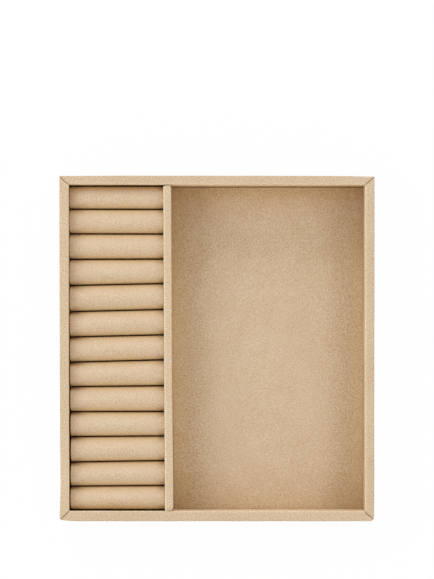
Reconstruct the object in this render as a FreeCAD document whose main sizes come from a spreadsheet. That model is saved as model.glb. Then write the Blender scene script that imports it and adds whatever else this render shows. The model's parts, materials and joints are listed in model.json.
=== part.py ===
"""Jewelry tray: suede over board, with a bay of ring rolls beside one open compartment.

Millimetres. +Z is up, +X runs to the right and +Y to the back. The origin is the middle of the
underside. The walls are boards in suede covers, mitred at the corners. The base board sits in a
rebate along their foot, and the divider stands in a groove of the base board. A card in a suede
cover lines the floor on each side of the divider, and the ring rolls stand on the left one.
"""
import FreeCAD
import Part
import Sketcher

import math
import os

# Driving sizes: name, value in millimetres or a plain count, what it is
DRIVING_SIZES = (
    ("tray_width", 228.0, "outside, left to right"),
    ("tray_length", 250.0, "outside, front to back"),
    ("tray_height", 42.0, "underside to rim"),
    ("suede_thickness", 0.7, "every cover"),
    ("glue_line", 0.1, "between a board and its cover, and in the board joints"),
    ("wall_board", 5.0, "thickness of the wall boards"),
    ("base_board", 3.0, "thickness of the base board"),
    ("rebate_depth", 2.5, "how far the base board reaches into the walls"),
    ("edge_radius", 1.0, "rounding of the boards' edges"),
    ("turn_in_width", 6.0, "cover turned in under the foot of a wall"),
    ("mitre_seam", 0.3, "open seam between two wall covers"),
    ("underside_gap", 0.5, "from the underside cover to the turned-in covers"),
    ("divider_board", 4.0, "thickness of the divider board"),
    ("divider_groove", 1.2, "depth of its groove in the base board"),
    ("divider_end_gap", 0.2, "from the divider to the front and back walls"),
    ("ring_bay_width", 69.0, "clear, left wall to divider"),
    ("floor_card", 2.0, "thickness of the floor cards"),
    ("floor_gap", 0.3, "round each floor cover"),
    ("roll_count", 13, "ring rolls in the bay"),
    ("roll_gap", 0.4, "between rolls, and from the end rolls to the walls"),
    ("roll_end_gap", 0.5, "from a roll's ends to the wall and the divider"),
    ("crown_drop", 4.5, "rim down to the crown of the rolls"),
    ("crown_rise", 7.0, "crown above the straight sides of a roll"),
    ("shoulder_radius", 5.5, "rounding between a roll's side and its crown"),
    ("roll_foot_radius", 2.0, "rounding under a roll"),
    ("sleeve_slit", 1.0, "open seam under a sleeve"),
    ("foam_clearance", 0.1, "foam core to sleeve"),
)

HALF_RIGHT_ANGLE = math.sqrt(0.5)  # sine and cosine of the mitre's angle
CUT_MARGIN = 1.0  # how far a cutting outline reaches past what it cuts
QUARTER_TURN = 90.0  # degrees


class Size:
    """A length: its number now, and the expression that ties it to the sheet."""

    def __init__(self, number, text):
        self.number = number
        self.text = text

    def combine(self, sign, other, number, other_first=False):
        other_text = other.text if isinstance(other, Size) else repr(other)
        first, second = (other_text, self.text) if other_first else (self.text, other_text)
        return Size(number, f"({first} {sign} {second})")

    def __add__(self, other):
        return self.combine("+", other, self.number + number_of(other))

    def __sub__(self, other):
        return self.combine("-", other, self.number - number_of(other))

    def __mul__(self, other):
        return self.combine("*", other, self.number * number_of(other))

    def __truediv__(self, other):
        return self.combine("/", other, self.number / number_of(other))

    def __radd__(self, other):
        return self.combine("+", other, other + self.number, True)

    def __rsub__(self, other):
        return self.combine("-", other, other - self.number, True)

    def __rmul__(self, other):
        return self.combine("*", other, other * self.number, True)

    def __neg__(self):
        return 0 - self


def number_of(value):
    """The number of a Size, or a plain number itself."""
    return value.number if isinstance(value, Size) else value


def as_size(value):
    """A Size as it is, or a plain number as one."""
    return value if isinstance(value, Size) else Size(value, repr(value))


# The document and its sheet of driving sizes
doc = FreeCAD.newDocument("JewelryTray")
sheet = doc.addObject("Spreadsheet::Sheet", "Sizes")
sizes = {}
for row, (name, value, meaning) in enumerate(DRIVING_SIZES, start=1):
    sheet.set(f"A{row}", meaning)
    sheet.set(f"B{row}", str(value))
    sheet.setAlias(f"B{row}", name)
doc.recompute()
for name, value, meaning in DRIVING_SIZES:
    sizes[name] = Size(sheet.get(name), f"Sizes.{name}")

# Levels and faces that several pieces share
suede = sizes["suede_thickness"]
glue = sizes["glue_line"]
cloth = suede + glue
wall = sizes["wall_board"] + 2 * cloth
rim_radius = sizes["edge_radius"] + cloth
half_width = sizes["tray_width"] / 2
half_length = sizes["tray_length"] / 2
rim = sizes["tray_height"]
base_top = cloth + sizes["base_board"]
floor_top = base_top + sizes["floor_card"] + cloth
clear_length = sizes["tray_length"] - 2 * wall
bay_left = wall - half_width
bay_right = bay_left + sizes["ring_bay_width"]
divider = sizes["divider_board"] + 2 * cloth
compartment_left = bay_right + divider
compartment_right = half_width - wall


def new_body(label, x=0.0, y=0.0, z=0.0, turn=0.0):
    """A body at its place in the tray, turned about the vertical by so many degrees."""
    body = doc.addObject("PartDesign::Body", label)
    body.Label = label
    body.Placement = FreeCAD.Placement(
        FreeCAD.Vector(number_of(x), number_of(y), number_of(z)),
        FreeCAD.Rotation(FreeCAD.Vector(0, 0, 1), turn),
    )
    for axis, value in (("x", x), ("y", y), ("z", z)):
        body.setExpression(f"Placement.Base.{axis}", as_size(value).text)
    return body


def new_sketch(body, role, name, level=0.0):
    """An empty sketch on one of the body's own planes, raised from it by a level."""
    plane = [item for item in body.Origin.OriginFeatures if item.Role == role][0]
    sketch = body.newObject("Sketcher::SketchObject", f"{body.Name}_{name}")
    sketch.AttachmentSupport = [(plane, "")]
    sketch.MapMode = "FlatFace"
    sketch.setExpression("AttachmentOffset.Base.z", as_size(level).text)
    return sketch


def arc_through(start, end, radius):
    """The smaller arc between two points, counterclockwise for a positive radius."""
    chord = end - start
    middle = (start + end) * 0.5
    reach = math.sqrt(radius**2 - (chord.Length / 2) ** 2)
    left = FreeCAD.Vector(-chord.y, chord.x, 0).normalize()
    centre = middle + left * math.copysign(reach, radius)
    first, last = (start, end) if radius > 0 else (end, start)
    angles = [math.atan2(p.y - centre.y, p.x - centre.x) for p in (first, last)]
    circle = Part.Circle(centre, FreeCAD.Vector(0, 0, 1), abs(radius))
    return Part.ArcOfCircle(circle, *angles)


def draw_outline(sketch, corners):
    """Draw a closed outline counterclockwise and tie every corner to the sheet.

    A corner is (x, y), reached by a line from the one before, or (x, y, radius), reached by an
    arc that turns left, or right where the radius is negative.
    """
    places = [FreeCAD.Vector(number_of(c[0]), number_of(c[1]), 0) for c in corners]
    start_points = []
    end_points = []
    for index, corner in enumerate(corners):
        start, end = places[index - 1], places[index]
        radius = number_of(corner[2]) if len(corner) == 3 else None
        if radius is None:
            edge = sketch.addGeometry(Part.LineSegment(start, end))
        else:
            edge = sketch.addGeometry(arc_through(start, end, radius))
        runs_forward = radius is None or radius > 0
        start_points.append((edge, 1 if runs_forward else 2))
        end_points.append((edge, 2 if runs_forward else 1))
    for index, corner in enumerate(corners):
        next_start = start_points[(index + 1) % len(corners)]
        sketch.addConstraint(Sketcher.Constraint("Coincident", *end_points[index], *next_start))
        for direction, value in (("DistanceX", corner[0]), ("DistanceY", corner[1])):
            tie(sketch, Sketcher.Constraint(direction, *end_points[index], number_of(value)), value)
        if len(corner) == 3:
            radius = corner[2] if number_of(corner[2]) > 0 else -corner[2]
            tie(sketch, Sketcher.Constraint("Radius", end_points[index][0], radius.number), radius)


def tie(sketch, constraint, value):
    """Add a constraint and bind it to the sheet."""
    index = sketch.addConstraint(constraint)
    sketch.setExpression(f"Constraints[{index}]", as_size(value).text)


def rectangle(left, right, low, high):
    """Corners of a plain rectangle."""
    return [(left, low), (right, low), (right, high), (left, high)]


def round_topped(left, right, low, high, radius):
    """Corners of a rectangle whose two upper corners are rounded."""
    return [
        (left, low),
        (right, low),
        (right, high - radius),
        (right - radius, high, radius),
        (left + radius, high),
        (left, high - radius, radius),
    ]


def pad(body, sketch, length, symmetric=False):
    """Raise a sketch into a solid."""
    feature = body.newObject("PartDesign::Pad", f"{sketch.Name}_pad")
    feature.Profile = sketch
    feature.SideType = "Symmetric" if symmetric else "One side"
    feature.setExpression("Length", as_size(length).text)
    sketch.Visibility = False
    doc.recompute()
    return feature


def pocket(body, sketch, length=None, symmetric=False):
    """Cut a sketch out of the body, upwards or to both sides, and make sure that it cuts."""
    before = body.Shape.Volume
    feature = body.newObject("PartDesign::Pocket", f"{sketch.Name}_pocket")
    feature.Profile = sketch
    feature.SideType = "Symmetric" if symmetric else "One side"
    feature.Reversed = not symmetric
    if length is None:
        feature.Type = "ThroughAll"
    else:
        feature.setExpression("Length", as_size(length).text)
    doc.recompute()
    if body.Shape.Volume >= before:
        raise RuntimeError(f"{feature.Name} cuts nothing")
    return feature


def mirror_ends(body, feature):
    """Repeat a cut at the other end of a piece that runs along its own X."""
    before = body.Shape.Volume
    plane = [item for item in body.Origin.OriginFeatures if item.Role == "YZ_Plane"][0]
    mirrored = body.newObject("PartDesign::Mirrored", f"{feature.Name}_mirrored")
    mirrored.Originals = [feature]
    mirrored.MirrorPlane = (plane, [""])
    body.Tip = mirrored
    doc.recompute()
    if body.Shape.Volume >= before:
        raise RuntimeError(f"{mirrored.Name} cuts nothing")


def cut_mitres(body, wall_length, face, set_back):
    """Mitre both ends of a wall piece and round its outer corners.

    The face is the piece's depth behind the outside of the wall, and the set-back leaves the open
    seam. The rounding has its centre where the boards' own rounding has it.
    """
    end = wall_length / 2 - set_back
    radius = rim_radius - face
    centre = (end - rim_radius, rim_radius)
    inside = wall + CUT_MARGIN
    corners = [
        (centre[0], face - CUT_MARGIN),
        (end + CUT_MARGIN, face - CUT_MARGIN),
        (end + CUT_MARGIN, inside),
        (end - inside, inside),
        (centre[0] + radius * HALF_RIGHT_ANGLE, centre[1] - radius * HALF_RIGHT_ANGLE),
        (centre[0], face, -radius),
    ]
    sketch = new_sketch(body, "XY_Plane", "mitre")
    draw_outline(sketch, corners)
    mirror_ends(body, pocket(body, sketch, symmetric=True))


def wall_board(label, wall_length, **place):
    """One wall board: rounded along the rim, rebated for the base board, mitred at its ends."""
    body = new_body(label, **place)
    inner_face = wall - cloth
    section = new_sketch(body, "YZ_Plane", "section")
    draw_outline(section, round_topped(cloth, inner_face, cloth, rim - cloth, sizes["edge_radius"]))
    pad(body, section, wall_length, symmetric=True)
    rebate = new_sketch(body, "YZ_Plane", "rebate")
    rebate_wall = inner_face - sizes["rebate_depth"]
    draw_outline(rebate, rectangle(rebate_wall, wall, cloth - CUT_MARGIN, base_top + glue))
    pocket(body, rebate, symmetric=True)
    cut_mitres(body, wall_length, cloth, glue / 2)
    return body


def wall_cover(label, wall_length, **place):
    """One wall cover: up the outside, over the rim, down the inside, turned in under the foot."""
    body = new_body(label, **place)
    section = new_sketch(body, "YZ_Plane", "section")
    draw_outline(section, round_topped(0.0, wall, 0.0, rim, rim_radius))
    pad(body, section, wall_length, symmetric=True)
    lining = new_sketch(body, "YZ_Plane", "lining")
    draw_outline(lining, round_topped(suede, wall - suede, suede, rim - suede, rim_radius - suede))
    pocket(body, lining, symmetric=True)
    foot = new_sketch(body, "YZ_Plane", "foot")
    past_wall = wall + CUT_MARGIN
    foot_corners = [
        (sizes["turn_in_width"], -CUT_MARGIN),
        (past_wall, -CUT_MARGIN),
        (past_wall, base_top),
        (wall / 2, base_top),
        (wall / 2, suede),
        (sizes["turn_in_width"], suede),
    ]
    draw_outline(foot, foot_corners)
    pocket(body, foot, symmetric=True)
    cut_mitres(body, wall_length, as_size(0.0), sizes["mitre_seam"] / 2)
    return body


def base_board():
    """The base board, with the divider's groove along it."""
    body = new_body("base_board", z=cloth)
    reach = wall - cloth - sizes["rebate_depth"] + glue
    plan = new_sketch(body, "XY_Plane", "plan")
    side = half_width - reach
    end = half_length - reach
    draw_outline(plan, rectangle(-side, side, -end, end))
    pad(body, plan, sizes["base_board"])
    groove = new_sketch(body, "XY_Plane", "groove", sizes["base_board"] - sizes["divider_groove"])
    groove_left = bay_right + cloth - glue
    groove_right = compartment_left - cloth + glue
    groove_end = end + CUT_MARGIN
    draw_outline(groove, rectangle(groove_left, groove_right, -groove_end, groove_end))
    pocket(body, groove)
    return body


def underside_cover():
    """The flat suede sheet between the turned-in wall covers."""
    body = new_body("underside_cover")
    margin = sizes["turn_in_width"] + sizes["underside_gap"]
    side = half_width - margin
    end = half_length - margin
    plan = new_sketch(body, "XY_Plane", "plan")
    draw_outline(plan, rectangle(-side, side, -end, end))
    pad(body, plan, suede)
    return body


def divider_board():
    """The divider board, down to the bottom of its groove."""
    body = new_body("divider_board", x=bay_right + divider / 2, turn=QUARTER_TURN)
    half = sizes["divider_board"] / 2
    foot = base_top - sizes["divider_groove"]
    section = new_sketch(body, "YZ_Plane", "section")
    draw_outline(section, round_topped(-half, half, foot, rim - cloth, sizes["edge_radius"]))
    pad(body, section, clear_length - 2 * sizes["divider_end_gap"], symmetric=True)
    return body


def divider_cover():
    """Suede over the divider, down both sides to the base board."""
    body = new_body("divider_cover", x=bay_right + divider / 2, turn=QUARTER_TURN)
    half = divider / 2
    section = new_sketch(body, "YZ_Plane", "section")
    draw_outline(section, round_topped(-half, half, base_top, rim, rim_radius))
    pad(body, section, clear_length - 2 * sizes["divider_end_gap"], symmetric=True)
    lining = new_sketch(body, "YZ_Plane", "lining")
    inside = half - suede
    low = base_top - CUT_MARGIN
    draw_outline(lining, round_topped(-inside, inside, low, rim - suede, rim_radius - suede))
    pocket(body, lining, symmetric=True)
    return body


def floor_card(label, left, right):
    """The card that stiffens the floor pad between two faces of the tray."""
    body = new_body(label, x=(left + right) / 2, z=base_top)
    margin = sizes["floor_gap"] + cloth
    side = (right - left) / 2 - margin
    end = clear_length / 2 - margin
    plan = new_sketch(body, "XY_Plane", "plan")
    draw_outline(plan, rectangle(-side, side, -end, end))
    pad(body, plan, sizes["floor_card"])
    return body


def floor_cover(label, left, right):
    """Suede over a floor card and down its edges."""
    body = new_body(label, x=(left + right) / 2, z=base_top)
    side = (right - left) / 2 - sizes["floor_gap"]
    end = clear_length / 2 - sizes["floor_gap"]
    plan = new_sketch(body, "XY_Plane", "plan")
    draw_outline(plan, rectangle(-side, side, -end, end))
    pad(body, plan, floor_top - base_top)
    inside = new_sketch(body, "XY_Plane", "inside")
    draw_outline(inside, rectangle(suede - side, side - suede, suede - end, end - suede))
    pocket(body, inside, sizes["floor_card"] + glue)
    return body


# The ring rolls share one section, one length and one pitch
roll_pitch = (clear_length - sizes["roll_gap"]) / sizes["roll_count"]
roll_half_width = (roll_pitch - sizes["roll_gap"]) / 2
roll_length = sizes["ring_bay_width"] - 2 * sizes["roll_end_gap"]
roll_middle = (bay_left + bay_right) / 2
roll_crown = rim - sizes["crown_drop"]


def roll_section(inset):
    """Corners of a roll's section, drawn in from the sleeve's outside by the inset.

    The sides are straight, the foot is flat with rounded corners, and two shoulders lead into one
    crown arc, tangent to both.
    """
    side = roll_half_width - inset
    foot = floor_top + inset
    foot_radius = sizes["roll_foot_radius"] - inset
    shoulder = sizes["shoulder_radius"] - inset
    spring = roll_crown - sizes["crown_rise"]
    rise = sizes["crown_rise"] - inset
    across = side - shoulder
    crown = (across * across + rise * rise - shoulder * shoulder) / (2 * (rise - shoulder))
    crown_centre = spring + rise - crown
    meet_out = across * crown / (crown - shoulder)
    meet_up = crown_centre + (crown - rise) * crown / (crown - shoulder)
    return [
        (foot_radius - side, foot, foot_radius),
        (side - foot_radius, foot),
        (side, foot + foot_radius, foot_radius),
        (side, spring),
        (meet_out, meet_up, shoulder),
        (-meet_out, meet_up, crown),
        (-side, spring, shoulder),
        (-side, foot + foot_radius),
    ]


def roll_place(number):
    """Where a roll stands, counted from the back wall."""
    return clear_length / 2 - sizes["roll_gap"] / 2 - (number - 0.5) * roll_pitch


def ring_roll_sleeve(number):
    """A roll's sleeve: closed and rounded at its ends, with an open seam underneath."""
    body = new_body(f"ring_roll_{number:02d}_sleeve", x=roll_middle, y=roll_place(number))
    section = new_sketch(body, "YZ_Plane", "section")
    draw_outline(section, roll_section(as_size(0.0)))
    outside = pad(body, section, roll_length, symmetric=True)
    ends = body.newObject("PartDesign::Fillet", f"{body.Name}_ends")
    ends.Base = (outside, end_edges(outside.Shape, roll_length.number / 2))
    ends.setExpression("Radius", (2 * suede).text)
    doc.recompute()
    lining = new_sketch(body, "YZ_Plane", "lining")
    draw_outline(lining, roll_section(suede))
    pocket(body, lining, roll_length - 2 * suede, symmetric=True)
    seam = new_sketch(body, "XY_Plane", "seam", floor_top - CUT_MARGIN)
    seam_end = roll_length / 2 - 2 * suede
    seam_side = sizes["sleeve_slit"] / 2
    draw_outline(seam, rectangle(-seam_end, seam_end, -seam_side, seam_side))
    pocket(body, seam, suede + 2 * CUT_MARGIN)
    return body


def end_edges(shape, half):
    """Names of the edges round both end faces of a roll."""
    names = []
    for index, edge in enumerate(shape.Edges, start=1):
        if all(math.isclose(abs(v.X), half, abs_tol=1e-6) for v in edge.Vertexes):
            if math.isclose(edge.BoundBox.XLength, 0.0, abs_tol=1e-6):
                names.append(f"Edge{index}")
    return names


def ring_roll_foam(number):
    """A roll's foam core."""
    body = new_body(f"ring_roll_{number:02d}_foam", x=roll_middle, y=roll_place(number))
    inset = suede + sizes["foam_clearance"]
    section = new_sketch(body, "YZ_Plane", "section")
    draw_outline(section, roll_section(inset))
    pad(body, section, roll_length - 2 * inset, symmetric=True)
    return body


# Build every piece
WALLS = (
    ("front", sizes["tray_width"], {"y": -half_length, "turn": 0.0}),
    ("back", sizes["tray_width"], {"y": half_length, "turn": 2 * QUARTER_TURN}),
    ("left", sizes["tray_length"], {"x": -half_width, "turn": -QUARTER_TURN}),
    ("right", sizes["tray_length"], {"x": half_width, "turn": QUARTER_TURN}),
)
pieces = [base_board(), underside_cover()]
for side_name, wall_length, place in WALLS:
    pieces.append(wall_board(f"{side_name}_wall_board", wall_length, **place))
    pieces.append(wall_cover(f"{side_name}_wall_cover", wall_length, **place))
pieces += [divider_board(), divider_cover()]
pieces.append(floor_card("compartment_floor_card", compartment_left, compartment_right))
pieces.append(floor_cover("compartment_floor_cover", compartment_left, compartment_right))
pieces.append(floor_card("ring_bay_floor_card", bay_left, bay_right))
pieces.append(floor_cover("ring_bay_floor_cover", bay_left, bay_right))
for roll_number in range(1, round(sizes["roll_count"].number) + 1):
    pieces.append(ring_roll_sleeve(roll_number))
    pieces.append(ring_roll_foam(roll_number))

# Check the document, then write each piece
doc.recompute()
for item in doc.Objects:
    if "Invalid" in item.State or "Error" in item.State:
        raise RuntimeError(f"{item.Name} failed: {item.State}")
for piece in pieces:
    if piece.Shape.isNull() or not piece.Shape.isValid() or len(piece.Shape.Solids) != 1:
        raise RuntimeError(f"{piece.Label} is not one sound solid")
os.makedirs("parts", exist_ok=True)
for piece in pieces:
    piece.Shape.exportStep(f"parts/{piece.Label}.step")
print(f"{len(pieces)} pieces, {sum(piece.Shape.Volume for piece in pieces) / 1000:.1f} cm3")
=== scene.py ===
# %% [markdown]
# This lesson dresses a jewelry tray that is already built in boards and plain solids. The real tray
# is stiff fibreboard wrapped in beige faux suede: four wrapped walls with mitred corners, a wrapped
# divider, a covered floor, and a bay of soft ring rolls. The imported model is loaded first, and the
# cloth takes its place and size from the nodes, so that it lands on the boards that carry it.

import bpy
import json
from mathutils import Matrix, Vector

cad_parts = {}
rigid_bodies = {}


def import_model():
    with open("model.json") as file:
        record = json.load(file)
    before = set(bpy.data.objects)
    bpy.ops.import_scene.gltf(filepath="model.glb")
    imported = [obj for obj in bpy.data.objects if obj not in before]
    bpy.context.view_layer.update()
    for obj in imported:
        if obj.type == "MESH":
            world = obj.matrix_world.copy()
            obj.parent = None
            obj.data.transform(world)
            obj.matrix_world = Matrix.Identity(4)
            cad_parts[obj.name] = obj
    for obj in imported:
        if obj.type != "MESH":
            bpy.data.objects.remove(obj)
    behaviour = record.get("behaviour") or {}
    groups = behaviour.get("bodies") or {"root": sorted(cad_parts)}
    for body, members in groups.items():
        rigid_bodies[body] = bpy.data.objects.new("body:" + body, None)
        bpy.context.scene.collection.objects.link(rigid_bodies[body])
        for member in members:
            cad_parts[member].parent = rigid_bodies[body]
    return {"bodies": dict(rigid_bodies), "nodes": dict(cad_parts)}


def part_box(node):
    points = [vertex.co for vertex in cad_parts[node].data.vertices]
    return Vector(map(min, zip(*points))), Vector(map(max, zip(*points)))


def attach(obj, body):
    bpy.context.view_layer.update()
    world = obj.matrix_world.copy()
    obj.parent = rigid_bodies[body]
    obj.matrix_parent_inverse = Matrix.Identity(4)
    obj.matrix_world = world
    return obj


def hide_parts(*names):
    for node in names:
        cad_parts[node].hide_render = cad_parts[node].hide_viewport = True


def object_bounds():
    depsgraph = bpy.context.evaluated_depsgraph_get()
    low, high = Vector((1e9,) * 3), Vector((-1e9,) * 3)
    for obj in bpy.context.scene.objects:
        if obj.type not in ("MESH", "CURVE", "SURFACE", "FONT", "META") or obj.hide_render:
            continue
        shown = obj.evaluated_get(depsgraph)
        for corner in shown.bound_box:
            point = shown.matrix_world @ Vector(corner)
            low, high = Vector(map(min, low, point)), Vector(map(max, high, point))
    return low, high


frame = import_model()
cad_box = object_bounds()

# %% [markdown]
# Lengths are in metres, with X to the right, Y to the back and Z up from the table. A few measures of
# the solids place all the cloth. They could be typed in, but then a change to the solids would leave
# the cloth behind, so they are read off the nodes.

# %% Tools and measures
import json
import math

import bmesh
import bpy
from mathutils import Matrix, Vector, noise

MM = 0.001
SUEDE = 0.7 * MM
wall_low, wall_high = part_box("front_wall_cover")
RIM = wall_high.z
WALL = wall_high.y - wall_low.y
HALF_WIDTH = cad_box[1][0]
HALF_LENGTH = cad_box[1][1]
BASE_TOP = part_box("divider_cover")[0].z
ROLL_BODIES = sorted(name for name in frame["bodies"] if name.startswith("ring_roll"))
print(f"rim {RIM / MM:.1f} mm high, walls {WALL / MM:.1f} mm thick, {len(ROLL_BODIES)} rolls")

# %% [markdown]
# Shader nodes are easier to read as sums than as links, so one small class wraps a socket. Adding
# or multiplying two wrapped sockets adds a Math node, and its node method makes any other node.

# %% Shader sums
# Where a Mix node keeps its sockets when it mixes colours
MIX_FACTOR = 0
MIX_FIRST = 6
MIX_SECOND = 7
MIX_RESULT = 2
GRAIN_ROUGHNESS = 0.6


class Wire:
    """A socket of a node tree that works in ordinary sums."""

    def __init__(self, tree, socket=None):
        self.tree = tree
        self.socket = socket

    def node(self, kind, settings, inputs, output=0):
        """A new node with its settings and sockets set, as a wire from one of its outputs."""
        made = self.tree.nodes.new(kind)
        for name, value in settings.items():
            setattr(made, name, value)
        for key, value in inputs.items():
            if isinstance(value, Wire):
                self.tree.links.new(value.socket, made.inputs[key])
            else:
                made.inputs[key].default_value = value
        return Wire(self.tree, made.outputs[output])

    def sum(self, operation, first, second):
        """A Math node on two values."""
        return self.node("ShaderNodeMath", {"operation": operation}, {0: first, 1: second})

    def __add__(self, other):
        return self.sum("ADD", self, other)

    def __radd__(self, other):
        return self.sum("ADD", other, self)

    def __sub__(self, other):
        return self.sum("SUBTRACT", self, other)

    def __rsub__(self, other):
        return self.sum("SUBTRACT", other, self)

    def __mul__(self, other):
        return self.sum("MULTIPLY", self, other)

    def __rmul__(self, other):
        return self.sum("MULTIPLY", other, self)

    def mix(self, settings, first, second):
        """A Mix node for two colours, with this socket as its factor."""
        sockets = {MIX_FACTOR: self, MIX_FIRST: first, MIX_SECOND: second}
        return self.node("ShaderNodeMix", {"data_type": "RGBA", **settings}, sockets, MIX_RESULT)

    def blend(self, first, second):
        """A colour that goes from the first to the second as this socket goes from 0 to 1."""
        return self.mix({"clamp_factor": True}, first, second)

    def toned(self, colour, tone):
        """A colour that is multiplied by a tone, more so as this socket goes from 0 to 1."""
        return self.mix({"blend_type": "MULTIPLY"}, colour, (*tone, 1.0))

    def grain(self, size, detail, stretch=(1.0, 1.0, 1.0)):
        """Cloudy noise with features of about this size, in metres, on the piece's own place."""
        place = self.node("ShaderNodeTexCoord", {}, {}, "Object")
        place = self.node("ShaderNodeMapping", {}, {"Vector": place, "Scale": stretch})
        inputs = {"Vector": place, "Scale": 1 / size, "Detail": detail, "Roughness": GRAIN_ROUGHNESS}
        return self.node("ShaderNodeTexNoise", {}, inputs, "Fac")

    def attribute(self, name):
        """A value that the mesh carries at each of its points."""
        return self.node("ShaderNodeAttribute", {"attribute_name": name}, {}, "Fac")

    def plug(self, shader, socket):
        """Link this socket to one of a shader's."""
        self.tree.links.new(self.socket, shader.inputs[socket])


def new_material(name):
    """An empty material with its shader, and a wire to make nodes with."""
    material = bpy.data.materials.new(name)
    material.use_nodes = True
    shader = material.node_tree.nodes["Principled BSDF"]
    return material, shader, Wire(material.node_tree)


# %% [markdown]
# Faux suede is a short dense pile. From above it reads as an even beige with a fine speckle, where
# single tufts lean their own way, and with broad soft patches where a hand has brushed the pile. A
# tuft that leans away looks darker and browner, so the speckle moves blue more than red. Hair could
# show every fibre, but at arm's length noise looks the same and costs far less.
#
# The mesh carries four values that change the tone from place to place, and most of them paint light
# and shade. Painted shade darkens the pile and deepens its speckle in bands along the floor's walls,
# by the back wall and on the slopes of the rolls that face the front. A browner painted shade lies on
# inner faces, by the walls and on steep sides, for light that comes off other suede. Painted light
# lightens the divider, the top of the left wall and the inner faces, with painted highlights along
# rounded edges. The last value darkens the mitred seams, and as painted shade the front end of the
# divider, the corners of the floor, and the ends and gaps of the rolls.

# %% Suede tones
BEIGE = (0.70, 0.53, 0.362)
WALL_BEIGE = (0.692, 0.523, 0.356)
ROLL_BEIGE = (0.76, 0.582, 0.402)
DARK_TUFT = (0.82, 0.68, 0.53)
LIGHT_TUFT = (1.18, 1.32, 1.47)
# Tones for the seams and painted shade, painted light, painted shade, and browner painted shade
SEAM_AND_SHADE_TONE = (0.45, 0.31, 0.22)
PAINTED_LIGHT_TONE = (1.30, 1.42, 1.46)
SHADED_TONE = (0.87, 0.86, 0.81)
WARM_SHADE_TONE = (1.0, 0.955, 0.815)
ROLL_WARM_SHADE_TONE = (1.0, 0.97, 0.8)


def shade_of(colour, share):
    """A colour with its red, green and blue each taken by its own share, as a node takes it."""
    return (*(channel * part for channel, part in zip(colour, share)), 1.0)


# %% Suede
MIDDLE = 0.5
SPECKLE_DETAIL = 2.0
SHADED_SPECKLE = 0.7
PATCH_DETAIL = 3.0
TUFT_SIZE = 0.45 * MM
TUFT_DETAIL = 2.0
TUFT_SHARE = 0.6
SPECKLE_SHARE = 0.4
PILE_BUMP = 0.4
PILE_HEIGHT = 0.3 * MM
PILE_ROUGHNESS = 0.9
PATCH_ROUGHNESS = 0.12
PILE_SHEEN = {
    "Specular IOR Level": 0.05,
    "Sheen Weight": 0.03,
    "Sheen Roughness": 0.5,
    "Sheen Tint": (1.0, 0.88, 0.72, 1.0),
}


def suede_material(name, tint, painted_warm_shade_tone, speckle, patches):
    """A suede of one tint. Its speckle and its patches are each given as a size and a depth."""
    # The tones in order: painted shade, browner painted shade, painted light and highlights, and
    # seams with painted shade
    tones = {"shade": SHADED_TONE, "painted_warm_shade": painted_warm_shade_tone, "fold": PAINTED_LIGHT_TONE, "seam_and_painted_shade": SEAM_AND_SHADE_TONE}
    speckle_size, speckle_depth = speckle
    patch_size, patch_depth = patches
    material, shader, wire = new_material(name)
    fine = wire.grain(speckle_size, SPECKLE_DETAIL)
    broad = wire.grain(patch_size, PATCH_DETAIL)
    depth = speckle_depth * (1 + wire.attribute("shade") * SHADED_SPECKLE)
    level = MIDDLE + (fine - MIDDLE) * depth + (broad - MIDDLE) * patch_depth
    pile = level.blend(shade_of(tint, DARK_TUFT), shade_of(tint, LIGHT_TUFT))
    for value, tone in tones.items():
        pile = wire.attribute(value).toned(pile, tone)
    pile.plug(shader, "Base Color")
    tufts = wire.grain(TUFT_SIZE, TUFT_DETAIL) * TUFT_SHARE + fine * SPECKLE_SHARE
    bump = {"Strength": PILE_BUMP, "Distance": PILE_HEIGHT, "Height": tufts}
    wire.node("ShaderNodeBump", {}, bump).plug(shader, "Normal")
    (PILE_ROUGHNESS + (broad - MIDDLE) * PATCH_ROUGHNESS).plug(shader, "Roughness")
    for socket, value in PILE_SHEEN.items():
        shader.inputs[socket].default_value = value
    return material


wall_suede_finish = suede_material(
    "wall_suede", WALL_BEIGE, WARM_SHADE_TONE, speckle=(1.0 * MM, 2.0), patches=(30 * MM, 0.35)
)
floor_suede_finish = suede_material(
    "floor_suede", BEIGE, WARM_SHADE_TONE, speckle=(0.7 * MM, 1.9), patches=(13 * MM, 0.35)
)
roll_suede_finish = suede_material(
    "roll_suede", ROLL_BEIGE, ROLL_WARM_SHADE_TONE, speckle=(0.6 * MM, 1.7), patches=(12 * MM, 0.2)
)
print("suede finishes:", wall_suede_finish.name, floor_suede_finish.name, roll_suede_finish.name)

# %% [markdown]
# The hidden boards get honest finishes too: brown fibreboard with flecks, and grey card with fibres.
# They only show if somebody takes the tray apart. Their solids are right as they are, so they keep
# their meshes and only take the new material.

# %% Board and card
BOARD_TONES = ((0.36, 0.25, 0.15), (0.58, 0.44, 0.3))
BOARD_FLECK = 1.2 * MM
BOARD_ROUGHNESS = 0.8
CARD_TONES = ((0.3, 0.28, 0.24), (0.5, 0.47, 0.41))
CARD_FLECK = 0.8 * MM
CARD_ROUGHNESS = 0.9
FLECK_DETAIL = 4.0
FLECK_STRETCH = (1.0, 0.4, 1.0)
FLECK_DEPTH = 1.8
FLECK_BUMP = 0.2
FLECK_HEIGHT = 0.2 * MM
FLECK_ROUGHNESS = 0.1
CLOUD_FLECKS = 18
CLOUD_DETAIL = 2.0
CLOUD_DEPTH = 0.6


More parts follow.
